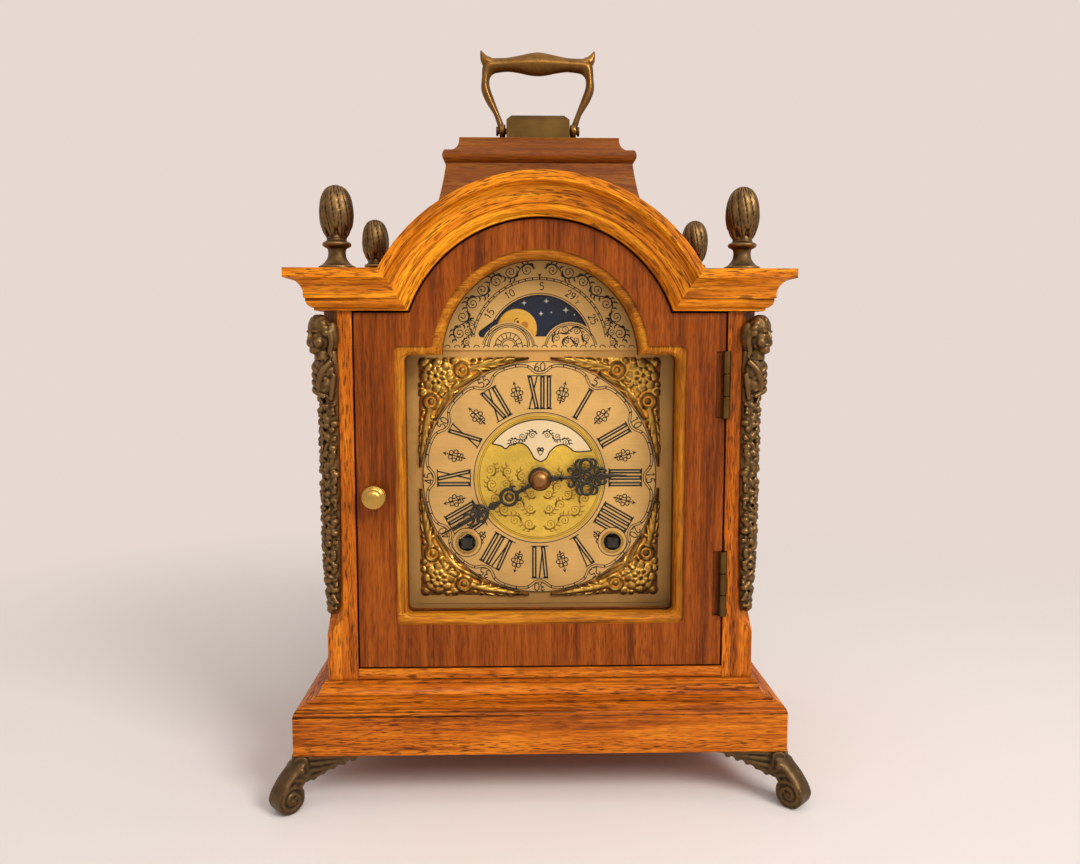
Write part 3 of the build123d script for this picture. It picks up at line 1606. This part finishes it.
# Spring barrels with their great wheels, and the winding arbors through them
for train_name, place in zip(("time", "strike"), winding_places):
    with BuildPart() as barrel:
        extrude(rod_sketch(place, great_wheel_front, barrel_radius), amount=barrel_length)
        extrude(
            rod_sketch(place, great_wheel_front - barrel_wall, barrel_radius - barrel_wall),
            amount=barrel_length - 2 * barrel_wall,
            mode=Mode.SUBTRACT,
        )
        extrude(
            gear_sketch(
                place, great_wheel_back, great_wheel_teeth, great_wheel_module, wheel_tip_share,
                bearing(place, intermediate_place),
            ),
            amount=wheel_thickness,
        )
        extrude(
            rod_sketch(place, great_wheel_back + overrun, winding_arbor_radius + pivot_clearance),
            amount=barrel_length + wheel_thickness + 2 * overrun,
            mode=Mode.SUBTRACT,
        )
    save(barrel.part, f"{train_name}_barrel")

    square_front = ring_front - winding_square_proud
    square_back = square_front + winding_square_length
    ratchet_back = plate_front - ratchet_gap
    arbor_back = back_plate_front - arbor_end_gap
    ratchet_points = []
    for tooth in range(ratchet_teeth):
        tip_angle = 2 * math.pi * tooth / ratchet_teeth
        for radius in (ratchet_radius, ratchet_depth_share * ratchet_radius):
            ratchet_points.append(
                (place[0] + radius * math.cos(tip_angle), place[1] + radius * math.sin(tip_angle))
            )
    with BuildPart() as winding_arbor:
        extrude(rod_sketch(place, arbor_back, winding_arbor_radius), amount=arbor_back - square_back)
        extrude(
            rod_sketch(place, back_plate_back, winding_pivot_radius), amount=plate_thickness + arbor_end_gap
        )
        with BuildSketch(at_depth(square_back)):
            with Locations(place):
                Rectangle(winding_square, winding_square)
        extrude(amount=winding_square_length)
        with BuildSketch(at_depth(ratchet_back)):
            with BuildLine():
                Polyline(*ratchet_points, close=True)
            make_face()
        extrude(amount=ratchet_thickness)
    save(winding_arbor.part, f"{train_name}_winding_arbor")

# Escapement frame on the back plate, and the balance wheel that swings in it
cock_front = back_plate_back + escapement_plate_thickness + balance_chamber
cock_back = cock_front + escapement_plate_thickness
with BuildPart() as escapement_frame:
    with BuildSketch(at_depth(back_plate_back + escapement_plate_thickness)):
        with Locations(escapement_place):
            Rectangle(2 * escapement_half, 2 * escapement_half)
    extrude(amount=escapement_plate_thickness)
    cock_post = escapement_half - cock_width / 4
    with BuildSketch(at_depth(cock_front)):
        with Locations((escapement_place[0] - cock_post, escapement_place[1])):
            Rectangle(cock_width / 2, cock_width)
    extrude(amount=balance_chamber)
    with BuildSketch(at_depth(cock_back)):
        with Locations((escapement_place[0] - escapement_half / 2, escapement_place[1])):
            Rectangle(escapement_half, cock_width)
        with Locations(escapement_place):
            Circle(cock_width / 2)
    extrude(amount=escapement_plate_thickness)
    extrude(
        rod_sketch(escapement_place, cock_back + overrun, balance_staff_radius + pivot_clearance),
        amount=cock_back - back_plate_back + 2 * overrun,
        mode=Mode.SUBTRACT,
    )
save(escapement_frame.part, "escapement_frame")

balance_back = cock_front - (balance_chamber - balance_thickness) / 2
with BuildPart() as balance_wheel:
    with BuildSketch(at_depth(balance_back)):
        with Locations(escapement_place):
            Circle(balance_radius)
            Circle(balance_radius - balance_rim_width, mode=Mode.SUBTRACT)
            Rectangle(2 * balance_radius - balance_rim_width, balance_spoke_width)
            Circle(2 * balance_staff_radius)
    extrude(amount=balance_thickness)
    extrude(
        rod_sketch(escapement_place, cock_back, balance_staff_radius), amount=cock_back - back_plate_back
    )
save(balance_wheel.part, "balance_wheel")

# Bell over the movement, on a stand from the back plate
plate_top = dial_z + plate_above
bell_y = plate_inner + plate_spacing / 2 + bell_setback
bell_mouth_z = plate_top + bell_rise
bell_crown_z = bell_mouth_z + bell_height
bell_plane = Plane(origin=(0, bell_y, 0), x_dir=(1, 0, 0), z_dir=(0, -1, 0))
bell_axis = Axis((0, bell_y, 0), (0, 0, 1))


def bell_half(radius, height):
    """Half section of a bell-shaped solid."""
    with BuildSketch(bell_plane) as half:
        with BuildLine():
            lip, crown = draw_profile(
                bell_profile_shares, lambda share: (share[0] * radius, bell_mouth_z + share[1] * height)
            )
            Polyline(crown, (0, bell_mouth_z), lip)
        make_face()
    return half.sketch


with BuildPart() as bell:
    revolve(bell_half(bell_radius, bell_height), axis=bell_axis)
    revolve(bell_half(bell_radius - bell_wall, bell_height - bell_wall), axis=bell_axis, mode=Mode.SUBTRACT)
    with BuildSketch(Plane.XY.offset(bell_crown_z - 2 * bell_wall)):
        with Locations((0, bell_y)):
            Circle(bell_post_radius / 2)
    extrude(amount=2 * bell_wall + overrun, mode=Mode.SUBTRACT)
save(bell.part, "bell")

stand_foot_z = plate_top - bell_stand_drop
stand_top_z = plate_top + bell_rise - bell_stand_thickness
with BuildPart() as bell_stand:
    with BuildSketch(at_depth(back_plate_back + bell_stand_thickness)):
        with Locations((0, (stand_foot_z + stand_top_z) / 2)):
            Rectangle(2 * bell_stand_half_width, stand_top_z - stand_foot_z)
    extrude(amount=bell_stand_thickness)
    arm_back = back_plate_back + bell_stand_thickness
    arm_front = bell_y - bell_stand_half_width
    with BuildSketch(Plane.XY.offset(stand_top_z - bell_stand_thickness)):
        with Locations((0, (arm_front + arm_back) / 2)):
            Rectangle(2 * bell_stand_half_width, arm_back - arm_front)
    extrude(amount=bell_stand_thickness)
    with BuildSketch(Plane.XY.offset(stand_top_z)):
        with Locations((0, bell_y)):
            Circle(bell_post_radius)
    extrude(amount=bell_crown_z - bell_wall - stand_top_z)
    with BuildSketch(Plane.XY.offset(bell_crown_z - bell_wall)):
        with Locations((0, bell_y)):
            Circle(bell_post_radius / 2)
    extrude(amount=2 * bell_wall)
save(bell_stand.part, "bell_stand")

# Hammer: an arbor through the plates, a tail between them and an arm outside that reaches the bell
arm_y = back_plate_back + hammer_plate_gap + hammer_arm_thickness
head_z = bell_mouth_z + hammer_head_rise
head_y = arm_y - hammer_arm_thickness / 2
bell_reach = math.sqrt(bell_radius**2 - (head_y - bell_y) ** 2)
head_face = bell_reach + hammer_rest_gap
head_middle = head_face + hammer_head_length / 2
with BuildPart() as hammer:
    extrude(rod_sketch(hammer_place, arm_y, hammer_arbor_radius), amount=arm_y - plate_front)
    with BuildSketch(at_depth(arm_y)):
        with BuildLine():
            Polyline(
                (hammer_place[0] - hammer_arm_half_width, hammer_place[1]),
                (head_middle - hammer_arm_half_width, head_z),
                (head_middle + hammer_arm_half_width, head_z),
                (hammer_place[0] + hammer_arm_half_width, hammer_place[1]),
                close=True,
            )
        make_face()
    extrude(amount=hammer_arm_thickness)
    with BuildSketch(Plane.YZ.offset(head_face)):
        with Locations((head_y, head_z)):
            Circle(hammer_head_radius)
    extrude(amount=hammer_head_length)
    tail_back = back_plate_front - arbor_end_gap
    with BuildSketch(at_depth(tail_back)):
        with Locations((hammer_place[0], hammer_place[1] - hammer_tail_length / 2)):
            Rectangle(2 * hammer_arm_half_width, hammer_tail_length)
    extrude(amount=hammer_arm_thickness)
save(hammer.part, "hammer")
